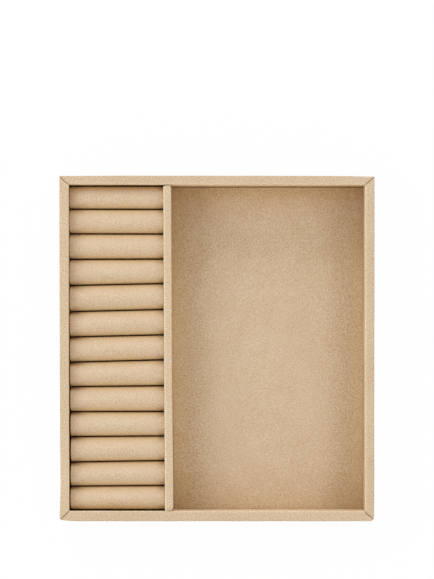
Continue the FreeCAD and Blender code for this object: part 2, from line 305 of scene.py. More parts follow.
def flecked_material(name, tones, fleck_size, roughness):
    """Pressed fibres: long flecks between a dark and a light tone, with broad clouds under them."""
    material, shader, wire = new_material(name)
    flecks = wire.grain(fleck_size, FLECK_DETAIL, FLECK_STRETCH)
    clouds = wire.grain(CLOUD_FLECKS * fleck_size, CLOUD_DETAIL)
    level = (flecks - MIDDLE) * FLECK_DEPTH + (clouds - MIDDLE) * CLOUD_DEPTH + MIDDLE
    dark, light = tones
    level.blend((*dark, 1.0), (*light, 1.0)).plug(shader, "Base Color")
    bump = {"Strength": FLECK_BUMP, "Distance": FLECK_HEIGHT, "Height": flecks}
    wire.node("ShaderNodeBump", {}, bump).plug(shader, "Normal")
    (roughness + (flecks - MIDDLE) * FLECK_ROUGHNESS).plug(shader, "Roughness")
    return material


board_finish = flecked_material("fibreboard", BOARD_TONES, BOARD_FLECK, BOARD_ROUGHNESS)
card_finish = flecked_material("greyboard", CARD_TONES, CARD_FLECK, CARD_ROUGHNESS)
for name, node in frame["nodes"].items():
    if name.endswith(("board", "card")):
        node.data.materials.clear()
        node.data.materials.append(card_finish if name.endswith("card") else board_finish)
        print("finished", name)

# %% [markdown]
# All the cloth on boards is made the same way: draw the section or the block of its outer face,
# round the folds with a bevel, cut in loops so that the cloth can give a little, then thicken it
# inwards. Cloth simulation could drape it, but glued cloth has nowhere to fall. These helpers hold
# the steps that the pieces share.

# %% Folds and cuts
PARALLEL = 0.999
CUT_TOLERANCE = 1e-7


def edges_along(bm, direction, wanted):
    """Straight edges that run along a direction and whose middle is wanted."""
    found = []
    for edge in bm.edges:
        run = (edge.verts[1].co - edge.verts[0].co).normalized()
        middle = (edge.verts[1].co + edge.verts[0].co) / 2
        if abs(run.dot(Vector(direction))) > PARALLEL and wanted(middle):
            found.append(edge)
    return found


def round_folds(bm, edges, radius, segments):
    """Bevel edges into folds of a radius."""
    bmesh.ops.bevel(
        bm,
        geom=edges,
        offset=radius,
        offset_type="OFFSET",
        affect="EDGES",
        segments=segments,
        profile=0.5,
        material=-1,
    )


def cut_loops(bm, places, direction):
    """Extra edge loops where planes across a direction meet the mesh."""
    for place in places:
        whole = bm.verts[:] + bm.edges[:] + bm.faces[:]
        bmesh.ops.bisect_plane(
            bm, geom=whole, plane_co=place, plane_no=direction, dist=CUT_TOLERANCE
        )


def cut_grid(bm, low, high, steps):
    """Loops across each axis, about a step apart, through a box."""
    for axis, step in enumerate(steps):
        direction = Vector((0, 0, 0))
        direction[axis] = 1
        count = max(1, round((high[axis] - low[axis]) / step))
        span = (high[axis] - low[axis]) / count
        places = [direction * (low[axis] + span * index) for index in range(1, count)]
        cut_loops(bm, places, direction)


# %% Skins and the values they carry
def face_out(bm):
    """Turn the faces of an open skin outwards, judged by its highest face."""
    bmesh.ops.recalc_face_normals(bm, faces=bm.faces[:])
    top = max(bm.faces, key=lambda face: face.calc_center_median().z)
    top.normal_update()
    if top.normal.z < 0:
        bmesh.ops.reverse_faces(bm, faces=bm.faces[:])
    bm.normal_update()


def thicken(bm, thickness):
    """Give an open skin its thickness, inwards from its outer face."""
    bm.normal_update()
    bmesh.ops.solidify(bm, geom=bm.faces[:], thickness=thickness)
    bmesh.ops.recalc_face_normals(bm, faces=bm.faces[:])


def carry(bm, name, value_at):
    """Let the mesh carry a value, worked out for each of its points."""
    layer = bm.verts.layers.float.new(name)
    for vert in bm.verts:
        vert[layer] = value_at(vert)


def hump(distance, reach):
    """A smooth bump: one in the middle, nothing far beyond its reach."""
    return math.exp(-((distance / reach) ** 2))


def ramp(value, start, end):
    """Goes from 0 at the start to 1 at the end, and stays there."""
    return min(1.0, max(0.0, (value - start) / (end - start)))


# %% [markdown]
# A piece of cloth counts only when the frame knows it: the body that it rides on, the solids that it
# stands for and the finish that it wears. One function says all of that, so that no piece misses a
# line of it.


# %% Finishing a piece
def finish_piece(bm, name, material, body, *nodes):
    """Make the mesh an object that rides on a body in place of its CAD nodes."""
    mesh = bpy.data.meshes.new(name)
    bm.to_mesh(mesh)
    bm.free()
    mesh.shade_smooth()
    mesh.materials.append(material)
    piece = bpy.data.objects.new(name, mesh)
    bpy.context.scene.collection.objects.link(piece)
    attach(piece, body)
    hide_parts(*nodes)
    print(name, "with", len(mesh.polygons), "faces")
    return piece


# %% [markdown]
# A hand-wrapped tray is never quite square. The cloth rounds the outer corners, more at the front
# than at the back, and the outer faces run a little out of true: the left one turns and flares out at
# its front end, the front one swells but eases in at its left end, and the back one eases in at both
# ends and turns in to the right. A lattice could bend each cover, but here every flaw is one shift of
# a point in space, so the two covers that meet at a corner move together and no gap opens.

# %% Outer corners and faces
# Corners are named by the signs of their X and Y: -1 is left or front, 1 is right or back
CORNER_RADIUS = {(-1, -1): 1.9 * MM, (1, -1): 3.1 * MM, (-1, 1): 0.9 * MM, (1, 1): 0.9 * MM}
LEFT_SHIFT = 0.12 * MM
LEFT_TURN = 0.46 * MM
LEFT_BOW = 0.2 * MM
LEFT_FLARE = 0.75 * MM
LEFT_FLARE_REACH = 12.5 * MM
RIGHT_TURN = 0.14 * MM
BACK_TURN = 0.28 * MM
BACK_EASE = {-1: 0.17 * MM, 1: 0.4 * MM}
BACK_EASE_REACH = 20 * MM
FRONT_SWELL = 0.25 * MM
FRONT_EASE = 0.95 * MM
FRONT_EASE_REACH = 5.5 * MM


def corner_of(co):
    """The corner of the tray that a point is nearest to."""
    return math.copysign(1, co.x), math.copysign(1, co.y)


def round_corner(co):
    """Bring a point near an outer corner in, so that the square corner becomes an arc."""
    radius = CORNER_RADIUS[corner_of(co)]
    inside = (radius - HALF_WIDTH + abs(co.x), radius - HALF_LENGTH + abs(co.y))
    if min(inside) <= 0:
        return Vector((0, 0, 0))
    share = 1 - max(inside) / math.hypot(*inside)
    return Vector((-math.copysign(inside[0], co.x), -math.copysign(inside[1], co.y), 0)) * share


def out_of_true(co):
    """How far the outer faces stand off square, fading to nothing at the inner faces."""
    across = co.x / HALF_WIDTH
    along = co.y / HALF_LENGTH
    near_x = max(0.0, 1 - (HALF_WIDTH - abs(co.x)) / WALL)
    near_y = max(0.0, 1 - (HALF_LENGTH - abs(co.y)) / WALL)
    left = LEFT_SHIFT + LEFT_BOW * along**2 - LEFT_TURN * along
    left -= LEFT_FLARE * hump(co.y + HALF_LENGTH, LEFT_FLARE_REACH)
    front = FRONT_EASE * hump(co.x + HALF_WIDTH, FRONT_EASE_REACH) - FRONT_SWELL
    back = -BACK_EASE[math.copysign(1, co.x)] * hump(HALF_WIDTH - abs(co.x), BACK_EASE_REACH)
    back -= BACK_TURN * max(0.0, across)
    turn_x = left if co.x < 0 else RIGHT_TURN * along
    turn_y = back if co.y > 0 else front
    return Vector((turn_x * near_x, turn_y * near_y, 0))


print("outer corners rounded by", [round(radius / MM, 1) for radius in CORNER_RADIUS.values()], "mm")

# %% [markdown]
# Two of the four mitred seams don't run straight: one is bowed and one has a kink. Inside, by the
# rim, the cloth stands a little proud of its boards, most along the front wall. Last, a slow wave
# runs through all of it. Its seed is set, so every run gives the same tray.

# %% Seams and inner faces
SEAM_BOW = {(-1, 1): -0.4 * MM, (1, -1): 0.25 * MM}
SEAM_BEND = {(1, -1): 0.5 * MM}
KINK_REACH = 2.5 * MM
PROUD_TOP = 2 * MM
PROUD_FOOT = 14 * MM
# How far the cloth stands proud inside, in millimetres: front and back walls at their left end,
# middle and right end, left and right walls at their front end, middle and back end
PROUD_FRONT = (0.75, 0.6, 0.6)
PROUD_BACK = (-0.45, 0.1, 0.15)
PROUD_LEFT = (0.5, -0.05, -0.05)
PROUD_RIGHT = (0.3, 0.3, 0.3)


def kink_seam(co):
    """Push a mitred seam sideways along its length, and leave its two ends where they are."""
    corner = corner_of(co)
    depth_x = HALF_WIDTH - abs(co.x)
    depth_y = HALF_LENGTH - abs(co.y)
    along = ramp(min(depth_x, depth_y), 0, WALL)
    amount = SEAM_BOW.get(corner, 0.0) * (1 - abs(2 * along - 1))
    amount += SEAM_BEND.get(corner, 0.0) * math.sin(2 * math.pi * along)
    return Vector((1, 1, 0)).normalized() * amount * hump(depth_x - depth_y, KINK_REACH)


def proud_by(stands, along):
    """How far a wall's cloth stands proud at a place along it, from -1 to 1."""
    first, middle, last = stands
    return (middle + (first - middle) * max(0, -along) + (last - middle) * max(0, along)) * MM


def near_rim(height):
    """Goes from 0 down inside the tray to 1 just below the rim."""
    return ramp(height, RIM - PROUD_FOOT, RIM - PROUD_TOP)


def proud_inside(co):
    """How the cloth stands proud into the tray by the rim, shared by the two covers at a corner."""

    def share(depth):
        """One at the inner face, fading out through the wall and into the tray."""
        return ramp(depth, WALL / 2, WALL - SUEDE) * ramp(depth, 2 * WALL, WALL)

    stand_x = proud_by(PROUD_LEFT if co.x < 0 else PROUD_RIGHT, co.y / HALF_LENGTH)
    stand_y = proud_by(PROUD_FRONT if co.y < 0 else PROUD_BACK, co.x / HALF_WIDTH)
    inward_x = -math.copysign(share(HALF_WIDTH - abs(co.x)), co.x) * stand_x
    inward_y = -math.copysign(share(HALF_LENGTH - abs(co.y)), co.y) * stand_y
    return Vector((inward_x, inward_y, 0)) * near_rim(co.z)


# %% Hand finish of the walls
WAVE = 0.1 * MM
WAVE_SIZE = 35 * MM
WAVE_SEED = 2
noise.seed_set(WAVE_SEED)


def hand_finish(bm):
    """Shift every point of a wall cover, and leave its height as it is."""
    for vert in bm.verts:
        co = vert.co
        shift = round_corner(co) + out_of_true(co) + kink_seam(co) + proud_inside(co)
        shift += noise.noise_vector(co / WAVE_SIZE) * WAVE
        vert.co = co + Vector((shift.x, shift.y, 0))


# %% [markdown]
# A wall cover is one strip of suede: turned in under the foot, up the outside, over the rim and down
# the inside to the base board. A box could be wrapped face by face, but an extruded section is how
# the strip really runs. At each corner its end is cut at half a right angle, and the two cut edges
# meet in the mitred seam on the rim. The seam is what the eye finds first, so the cloth dips towards
# it in the mesh, and its tone is darkened along it. Painted light lightens the inner faces and puts a
# painted highlight along the inner edge of the rim, and the top of the left wall is painted a little
# lighter. The inner faces of three walls also get a browner painted shade.

# %% Strip of a wall cover
TURN_IN = 6.0 * MM
RIM_RADIUS = 1.2 * MM
RIM_STEPS = 6
INNER_RADIUS = 0.8 * MM
INNER_STEPS = 5
FOOT_RADIUS = 0.9 * MM
FOOT_STEPS = 3
NEAR = 1 * MM
WALL_GRID = (4 * MM, 1.1 * MM, 6 * MM)
SEAM_GAP = 0.05 * MM
# How far beside the cut its extra loops lie, in millimetres
SEAM_LOOPS = (0.15, 0.3, 0.5, 0.8, 1.3, 2.0)


def wall_skin(length):
    """The outer face of a wall cover along the X axis, with the tray on its +Y side."""
    bm = bmesh.new()
    section = [(TURN_IN, 0), (0, 0), (0, RIM), (WALL, RIM), (WALL, BASE_TOP)]
    corners = [bm.verts.new((-length / 2, depth, height)) for depth, height in section]
    strip = [bm.edges.new(pair) for pair in zip(corners, corners[1:])]
    grown = bmesh.ops.extrude_edge_only(bm, edges=strip)["geom"]
    far = [item for item in grown if isinstance(item, bmesh.types.BMVert)]
    bmesh.ops.translate(bm, verts=far, vec=(length, 0, 0))
    rim = edges_along(bm, (1, 0, 0), lambda m: m.z > RIM - NEAR)
    outer = min(rim, key=lambda edge: edge.verts[0].co.y)
    round_folds(bm, [edge for edge in rim if edge is not outer], INNER_RADIUS, INNER_STEPS)
    outer = edges_along(bm, (1, 0, 0), lambda m: m.z > RIM - NEAR and m.y < NEAR)
    round_folds(bm, outer, RIM_RADIUS, RIM_STEPS)
    foot = edges_along(bm, (1, 0, 0), lambda m: m.z < NEAR and m.y < NEAR)
    round_folds(bm, foot, FOOT_RADIUS, FOOT_STEPS)
    cut_grid(bm, (-length / 2, 0, 0), (length / 2, WALL, RIM), WALL_GRID)
    return bm


def cut_mitres(bm, half):
    """Cut both ends at half a right angle, with loops beside each cut for the seam's dip."""
    for end in (-1, 1):
        slant = Vector((end, 1, 0)).normalized()
        places = [(end * (half - beside * MM), 0, 0) for beside in SEAM_LOOPS]
        cut_loops(bm, places, slant)
        whole = bm.verts[:] + bm.edges[:] + bm.faces[:]
        edge = (end * (half - SEAM_GAP / 2), 0, 0)
        bmesh.ops.bisect_plane(bm, geom=whole, plane_co=edge, plane_no=slant, clear_outer=True)


# %% Wall covers
SEAM_DIP = 0.2 * MM
SEAM_REACH = 0.35 * MM
SEAM_END = 0.92 * WALL
MITRE_SINE = math.sqrt(0.5)
# How much painted light lightens the top, the fold along its inner edge as a painted highlight, and
# the inner face
PAINTED_LIGHT = {
    "front": (0.0, 0.5, 1.0),
    "back": (0.0, 0.5, 0.6),
    "left": (0.13, 0.5, 0.1),
    "right": (0.0, 1.0, 0.3),
}
# How much browner painted shade each wall's inner face gets
INNER_WARM_SHADE = {"front": 0.0, "back": 0.6, "left": 1.0, "right": 0.3}


def seam_at(co, half):
    """One in the middle of a mitred seam, fading beside it and at its inner end."""
    beside = (half - co.y - abs(co.x)) * MITRE_SINE
    return hump(beside, SEAM_REACH) * ramp(co.y, WALL, SEAM_END)


def inner_face(co):
    """Goes from 0 on the rim to 1 on the inner face of a wall."""
    return ramp(co.y, WALL - INNER_RADIUS, WALL)


def painted_light_at(co, side):
    """How much painted light lightens a place on a wall's cover."""
    top_light, fold_highlight, inner_light = PAINTED_LIGHT[side]
    fold = fold_highlight * hump(math.hypot(co.y - WALL, co.z - RIM), INNER_RADIUS)
    return max(fold, inner_light * inner_face(co), top_light)


def wall_cover(side, length, turn, place):
    """A cover made along the X axis, then turned by so many degrees and put in its place."""
    half = length / 2
    bm = wall_skin(length)
    cut_mitres(bm, half)
    face_out(bm)
    for vert in bm.verts:
        vert.co -= vert.normal * SEAM_DIP * seam_at(vert.co, half)
    thicken(bm, SUEDE)
    carry(bm, "seam_and_painted_shade", lambda vert: seam_at(vert.co, half))
    carry(bm, "fold", lambda vert: painted_light_at(vert.co, side))
    carry(bm, "painted_warm_shade", lambda vert: INNER_WARM_SHADE[side] * inner_face(vert.co))
    matrix = Matrix.Translation(place) @ Matrix.Rotation(math.radians(turn), 4, "Z")
    bmesh.ops.transform(bm, matrix=matrix, verts=bm.verts[:])
    hand_finish(bm)
    piece = finish_piece(bm, f"{side}_wall_suede", wall_suede_finish, "tray", f"{side}_wall_cover")


wall_cover("front", 2 * HALF_WIDTH, 0, (0, -HALF_LENGTH, 0))
wall_cover("back", 2 * HALF_WIDTH, 180, (0, HALF_LENGTH, 0))
wall_cover("left", 2 * HALF_LENGTH, -90, (-HALF_WIDTH, 0, 0))
wall_cover("right", 2 * HALF_LENGTH, 90, (HALF_WIDTH, 0, 0))

# %% [markdown]
# The divider is wrapped the same way, but its cloth also goes round both ends, so it starts as a
# block with no underside. It was glued in a little off square, to the left at the back, and bends to
# the right at the front, its right face more than its left one. The floor and the rolls beside it
# follow those lines. At the front its cloth laps over the wall's and is cut back on the right, and a
# painted shadow line lies just behind its end. Painted light lightens the whole cover a little, with
# painted highlights along its two top edges, the left one more.

# %% Line of the divider
DIVIDER_SLANT = 0.6 * MM
DIVIDER_BEND = {"left": 0.15 * MM, "right": 0.45 * MM}
BEND_FROM = 30 * MM
BEND_FULL = 88 * MM


def divider_line(y, face):
    """How far the divider's left or right face stands from its true line at a place along it."""
    return DIVIDER_BEND[face] * ramp(-y, BEND_FROM, BEND_FULL) - DIVIDER_SLANT * y / HALF_LENGTH


def block_skin(low, high, fold, segments):
    """The top and the four sides of a block as an open skin, with its edges folded round."""
    bm = bmesh.new()
    bmesh.ops.create_cube(bm, size=1.0)
    bmesh.ops.scale(bm, verts=bm.verts[:], vec=high - low)
    bmesh.ops.translate(bm, verts=bm.verts[:], vec=(low + high) / 2)
    under = min(bm.faces, key=lambda face: face.calc_center_median().z)
    bmesh.ops.delete(bm, geom=[under], context="FACES_ONLY")
    folds = [edge for edge in bm.edges if len(edge.link_faces) == 2]
    round_folds(bm, folds, fold, segments)
    return bm


# %% Divider cover
DIVIDER_FOLD = 1.1 * MM
DIVIDER_STEPS = 6
DIVIDER_GRID = (1.4 * MM, 4 * MM, 6 * MM)
DIVIDER_LAP = 0.3 * MM
DIVIDER_CUT = 1.5 * MM
DIVIDER_BACK_EASE = 0.5 * MM
# Painted light on the whole cover, and painted highlights along its left and right top edges
DIVIDER_PAINTED_LIGHT = 0.16
DIVIDER_LEFT_HIGHLIGHT = 1.0
DIVIDER_RIGHT_HIGHLIGHT = 0.5
# Where the painted shadow line behind the front end lies, and its reach
END_SHADOW_AT = 0.55 * MM
END_SHADOW_REACH = 0.45 * MM


def divider_cover():
    """The divider's cloth, drawn to its line and lapped over the front wall."""
    low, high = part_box("divider_cover")

    def front_line(x):
        """Where the front end of the cloth lies, lapped over the wall and cut back at its right."""
        return low.y - DIVIDER_LAP + DIVIDER_CUT * ramp(x, (low.x + high.x) / 2, high.x) ** 2

    def faces(y):
        """Where the left and the right face lie."""
        return low.x + divider_line(y, "left"), high.x + divider_line(y, "right")

    def top_edges(vert):
        """How much painted light lightens the cloth: painted highlights most along the two edges of
        the top.
        """
        left, right = (math.hypot(vert.co.x - x, high.z - vert.co.z) for x in faces(vert.co.y))
        left_highlight = DIVIDER_LEFT_HIGHLIGHT * hump(left, DIVIDER_FOLD)
        right_highlight = DIVIDER_RIGHT_HIGHLIGHT * hump(right, DIVIDER_FOLD)
        return max(left_highlight, right_highlight, DIVIDER_PAINTED_LIGHT)

    def painted_end_shadow(vert):
        """The painted shadow line just behind the front end."""
        behind = vert.co.y - front_line(vert.co.x - divider_line(vert.co.y, "right"))
        return hump(behind - END_SHADOW_AT, END_SHADOW_REACH)

    bm = block_skin(low, high, DIVIDER_FOLD, DIVIDER_STEPS)
    cut_grid(bm, low, high, DIVIDER_GRID)
    face_out(bm)
    for vert in bm.verts:
        drawn = front_line(vert.co.x) - low.y if vert.co.y < 0 else -DIVIDER_BACK_EASE
        drawn *= near_rim(vert.co.z) * abs(vert.co.y) / high.y
        left, right = faces(vert.co.y)
        vert.co.x = left + (right - left) * ramp(vert.co.x, low.x, high.x)
        vert.co.y += drawn
    thicken(bm, SUEDE)
    carry(bm, "fold", top_edges)
    carry(bm, "seam_and_painted_shade", painted_end_shadow)
    piece = finish_piece(bm, "divider_suede", wall_suede_finish, "tray", "divider_cover")


divider_cover()

# %% [markdown]
# Each floor is a card wrapped in suede and dropped in, so a thin dark line shows all round it. The
# card is never quite flat, so the top gets a slow wave. The lamp alone leaves the floor too light by
# the walls, so painted shade deepens it in broad bands along the walls, a browner painted shade lies
# by the walls, and painted shade darkens the corners. So the tones are worked out from how far a
# point is from each side.

# %% Tones of a floor
# Where painted shade lies on the pile: side, how far in from it, over what reach, and how deep
FLOOR_SHADE = (
    ("left", 14 * MM, 12 * MM, 1.0),
    ("right", 12 * MM, 13 * MM, 1.0),
    ("front", 0, 12 * MM, 0.35),
    ("back", 0, 8 * MM, 0.6),
    ("back", 42 * MM, 17 * MM, 0.55),
)
# The corners darkened by painted shade: their two sides, how far they reach in from the second, and
# how deep
FLOOR_CORNERS = (
    ("left", "back", 60 * MM, 0.28),
    ("right", "back", 60 * MM, 0.2),
    ("left", "front", 30 * MM, 0.2),
    ("right", "front", 30 * MM, 0.2),
)
CORNER_WIDTH = 40 * MM
# How far the browner painted shade reaches in from each wall, and how much of it each side gets
WARM_SHADE_REACH = 12 * MM
WARM_SHADE_SHARE = {"left": 1.0, "right": 0.4, "front": 0.3, "back": 0.85}


def floor_tones(low, high):
    """The values that a floor's mesh carries, each with how deep it is at a point."""

    def inside(co):
        """How far in a point is from each side."""
        sides = {"left": co.x - low.x, "right": high.x - co.x}
        return {**sides, "front": co.y - low.y, "back": high.y - co.y}

    def shaded_pile(vert):
        far = inside(vert.co)
        depths = [deep * hump(far[side] - place, reach) for side, place, reach, deep in FLOOR_SHADE]
        return min(1.0, sum(depths))

    def by_the_walls(vert):
        far = inside(vert.co)
        return max(share * hump(far[side], WARM_SHADE_REACH) for side, share in WARM_SHADE_SHARE.items())

    def in_the_corners(vert):
        far = inside(vert.co)
        depths = [
            deep * hump(far[side], CORNER_WIDTH) * hump(far[end], reach)
            for side, end, reach, deep in FLOOR_CORNERS
        ]
        return max(depths)

    return {"shade": shaded_pile, "painted_warm_shade": by_the_walls, "seam_and_painted_shade": in_the_corners}


# %% Floor covers
FLOOR_FOLD = 0.4 * MM
FLOOR_STEPS = 4
FLOOR_GRID = 5 * MM
FLOOR_SPREAD = 0.25 * MM
FLOOR_BACK = 0.55 * MM
FLOOR_REACH = 0.2 * MM
REACH_FULL = 10 * MM
REACH_END = 70 * MM
FLOOR_WAVE = 0.12 * MM
FLOOR_WAVE_SIZE = 40 * MM


def floor_cover(name, node, face):
    """A covered card. Its side by the divider follows the line of that face of the divider."""
    low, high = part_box(node)
    spread = Vector((FLOOR_SPREAD, FLOOR_SPREAD, 0))
    low, high = low - spread, high + spread - Vector((0, FLOOR_BACK, 0))
    far_side, near_side = (low.x, high.x) if face == "left" else (high.x, low.x)
    bm = block_skin(low, high, FLOOR_FOLD, FLOOR_STEPS)
    cut_grid(bm, low, high, (FLOOR_GRID, FLOOR_GRID, high.z - low.z))
    face_out(bm)
    for vert in bm.verts:
        reach = FLOOR_REACH * ramp(-vert.co.y, REACH_END, REACH_FULL)
        line = divider_line(vert.co.y, face) + math.copysign(reach, near_side - far_side)
        vert.co.x += line * ramp(vert.co.x, far_side, near_side)
        vert.co.z += (noise.noise(vert.co / FLOOR_WAVE_SIZE) - 1) * FLOOR_WAVE
    thicken(bm, SUEDE)
    for value, value_at in floor_tones(low, high).items():
        carry(bm, value, value_at)
    piece = finish_piece(bm, name, floor_suede_finish, "tray", node)


floor_cover("compartment_floor_suede", "compartment_floor_cover", "right")
floor_cover("ring_bay_floor_suede", "ring_bay_floor_cover", "left")

# %% [markdown]
# The underside is one flat sheet glued over the base board, between the turned-in feet of the wall
# covers. It has no folds, so a grid of its size, made as thick as the suede, is all that it needs.

# %% Underside cover
UNDERSIDE_COLUMNS = 40
UNDERSIDE_ROWS = 44


def underside_cover():
    """The flat sheet under the base board."""
    low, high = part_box("underside_cover")
    bm = bmesh.new()
    bmesh.ops.create_grid(bm, x_segments=UNDERSIDE_COLUMNS, y_segments=UNDERSIDE_ROWS, size=0.5)
    bmesh.ops.scale(bm, verts=bm.verts[:], vec=(high.x - low.x, high.y - low.y, 1.0))
    bmesh.ops.translate(bm, verts=bm.verts[:], vec=(0, 0, high.z))
    thicken(bm, SUEDE)
    piece = finish_piece(bm, "underside_suede", wall_suede_finish, "tray", "underside_cover")


underside_cover()

# %% [markdown]
# A ring roll is a strip of foam in a suede sleeve. Pressed in beside its neighbours its sides are
# flat, while its crown and its ends are free and swell. That is what cloth with air pressure does,
# so a slightly small block is blown up by Blender's cloth. A bevelled box would be quicker, but its
# crown would look turned on a lathe. Cloth settings are meant for cushions half a metre long, so the
# block is simulated ten times too large.

# %% Block of a roll
SIM_SCALE = 10
VOXEL = 0.95 * MM
END_INSET = 0.3 * MM
SIDE_INSET = 0.3 * MM
START_DROP = 1.3 * MM
SHOULDER = 6.0 * MM
SHOULDER_STEPS = 6
END_EDGE = 1.8 * MM
END_STEPS = 3
roll_low, roll_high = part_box(f"{ROLL_BODIES[0]}_sleeve")
ROLL_SIZE = roll_high - roll_low


def roll_block():
    """The small block that a roll starts as, standing on the origin, at simulation scale."""
    size = ROLL_SIZE - Vector((2 * END_INSET, 2 * SIDE_INSET, START_DROP))
    bm = bmesh.new()
    bmesh.ops.create_cube(bm, size=1.0)
    bmesh.ops.scale(bm, verts=bm.verts[:], vec=size)
    bmesh.ops.translate(bm, verts=bm.verts[:], vec=(0, 0, size.z / 2))
    shoulders = edges_along(bm, (1, 0, 0), lambda m: m.z > size.z / 2)
    round_folds(bm, shoulders, SHOULDER, SHOULDER_STEPS)
    round_folds(bm, edges_along(bm, (0, 0, 1), lambda m: True), END_EDGE, END_STEPS)
    bmesh.ops.scale(bm, verts=bm.verts[:], vec=(SIM_SCALE, SIM_SCALE, SIM_SCALE))
    return bm


def even_object(bm):
    """The block as an object with an even mesh, as the cloth needs."""
    mesh = bpy.data.meshes.new("roll_block")
    bm.to_mesh(mesh)
    bm.free()
    block = bpy.data.objects.new("roll_block", mesh)
    bpy.context.scene.collection.objects.link(block)
    remesh = block.modifiers.new("even_mesh", "REMESH")
    remesh.mode = "VOXEL"
    remesh.voxel_size = VOXEL * SIM_SCALE
    graph = bpy.context.evaluated_depsgraph_get()
    even = bpy.data.meshes.new_from_object(block.evaluated_get(graph))
    block.modifiers.clear()
    block.data = even
    return block


blown = even_object(roll_block())
print("block of", len(blown.data.vertices), "points")

# %% [markdown]
# Pressure alone would make a sausage. A vertex group holds the flat sides up to near the shoulder and
# the sewn ends all round, so only the crown swells. The cloth runs once, and how far each point moved
# is kept for all the rolls.

# %% Blow up the block
PRESSURE = 8.0
FRAMES = 20
HELD_LOW = 19.5 * MM
HELD_HIGH = 25.5 * MM
SEWN_END = 0.8 * MM
FREE_FROM = 2.5 * MM


def held_weight(co):
    """The flat sides are held to near the shoulder, and the sewn ends all round."""
    to_end = ROLL_SIZE.x / 2 - END_INSET - abs(co.x)
    return max(ramp(co.z, HELD_HIGH, HELD_LOW), ramp(to_end, FREE_FROM, SEWN_END))


def blow_up(block):
    """Run the cloth and give back how far each point moved, at the roll's own scale."""
    rest = [vert.co.copy() for vert in block.data.vertices]
    held = block.vertex_groups.new(name="held")
    for index, co in enumerate(rest):
        held.add([index], held_weight(co / SIM_SCALE), "REPLACE")
    cloth = block.modifiers.new("pressure", "CLOTH")
    cloth.settings.use_pressure = True
    cloth.settings.uniform_pressure_force = PRESSURE
    cloth.settings.effector_weights.gravity = 0
    cloth.settings.vertex_group_mass = held.name
    cloth.collision_settings.use_collision = False
    cloth.point_cache.frame_start = 1
    cloth.point_cache.frame_end = FRAMES
    for step in range(1, FRAMES + 1):
        bpy.context.scene.frame_set(step)
    swollen = block.evaluated_get(bpy.context.evaluated_depsgraph_get())
    moves = [(vert.co - co) / SIM_SCALE for vert, co in zip(swollen.data.vertices, rest)]
    block.modifiers.clear()
    bpy.context.scene.frame_set(1)
    return moves


swell = blow_up(blown)
print(f"the cloth moved up to {max(move.length for move in swell) / MM:.2f} mm")

# %% [markdown]
# Every roll takes the blown-up form and is pressed into its own place. The rolls were pushed in by
# hand: the gaps between them are not quite even or square, the left ends stand off their wall more
# towards the front, and the right ends press flat against the divider. The back left corner of each
# roll is sunk, and a slow wave dents each one its own way. Thirteen simulations could give that too,
# but short lists of offsets are quicker to set.

# %% Place of a roll
# How far each gap lies towards the back of its even place, and how much further its left end does
# than its right end, in millimetres, from the gap at the back wall to the gap at the front wall
GAP_SHIFT = (-0.32, 0.95, 1.2, 1.0, 0.8, 0.05, -0.2, -0.25, -0.4, -0.65, -0.45, -0.45, -0.1, 0.7)
GAP_LEAN = (0.0, 0.2, 0.15, -0.2, -1.5, -1.7, -1.6, -1.8, -0.7, -0.2, -0.5, -1.1, -0.5, 0.0)
# How far the left end of each roll stands to the right of its even place, in millimetres
LEFT_END = (-0.38, -0.38, -0.36, -0.33, -0.2, -0.1, 0.0, 0.1, 0.25, 0.5, 0.7, 0.6, 0.5)
LEFT_PRESS = 1.0 * MM
RIGHT_END = 0.44 * MM
RIGHT_PRESS = 1.0 * MM
END_BOW = 0.6 * MM
DENT = 0.25 * MM
DENT_SIZE = 14 * MM
SUNK_DROP = 0.8 * MM
CORNER_REACH = 9 * MM


def gap_offset(gap, along):
    """Shift of a gap at a place along the rolls, from -1 at the left to 1 at the right."""
    return (GAP_SHIFT[gap] - GAP_LEAN[gap] * along / 2) * MM


def in_slot(index, co, place):
    """Where a point of the blown-up roll ends up in the slot of one roll, that stands on place."""
    half = ROLL_SIZE / 2
    along = co.x / half.x
    across = co.y / half.y
    left = LEFT_END[index] * MM + END_BOW * across**4
    start = left - LEFT_PRESS
    end = RIGHT_END + RIGHT_PRESS
    pressed = co.x + start + (end - start) * ramp(along, -1, 1)
    x = max(left - half.x, min(RIGHT_END + half.x, pressed))
    back = gap_offset(index, along)
    front = gap_offset(index + 1, along)
    y = max(-half.y, min(half.y, co.y)) + front + (back - front) * ramp(across, -1, 1)
    z = max(0.0, min(2 * half.z, co.z))
    x += divider_line(place.y + y, "left") * ramp(along, -1, 1)
    spot = Vector((x, y, z)) + place
    dent = (noise.noise(spot / DENT_SIZE) - 1) * DENT
    dent -= SUNK_DROP * hump(x + half.x, CORNER_REACH) * ramp(across, 0, 1)
    return spot + Vector((0, 0, dent * ramp(z, half.z, 2 * half.z)))


# %% [markdown]
# A roll's tones are painted shade, worked out from where a point is and which way it faces. Painted
# shade darkens the gaps below the shoulders, the left ends, the corners and, most, the sunk corners.
# It deepens the pile where it faces the front, away from the lamp, and by the back wall. A browner
# painted shade lies on the steep sides.

# %% Tones of a roll
# Painted shade down in the gaps: where it starts and is full, below the crown, and how dark it is
GAP_TOP = 4 * MM
GAP_FOOT = 14 * MM
GAP_SHADE = 0.35
# Painted shadow of the left wall on the left ends: how dark, how far in, how much less at the front
# and how much more at the back
LEFT_SHADE = 0.36
LEFT_SHADE_REACH = 6 * MM
LEFT_SHADE_FADE = 0.3
LEFT_BACK_SHADE = 0.18
LEFT_BACK_REACH = 18 * MM
# Painted shade in the corners: how dark, how far in at the right, and how steep a place is where it
# starts and is full
CORNER_SHADE = 0.5
RIGHT_CORNER_REACH = 4 * MM
CORNER_FROM = 0.2
CORNER_FULL = 0.7
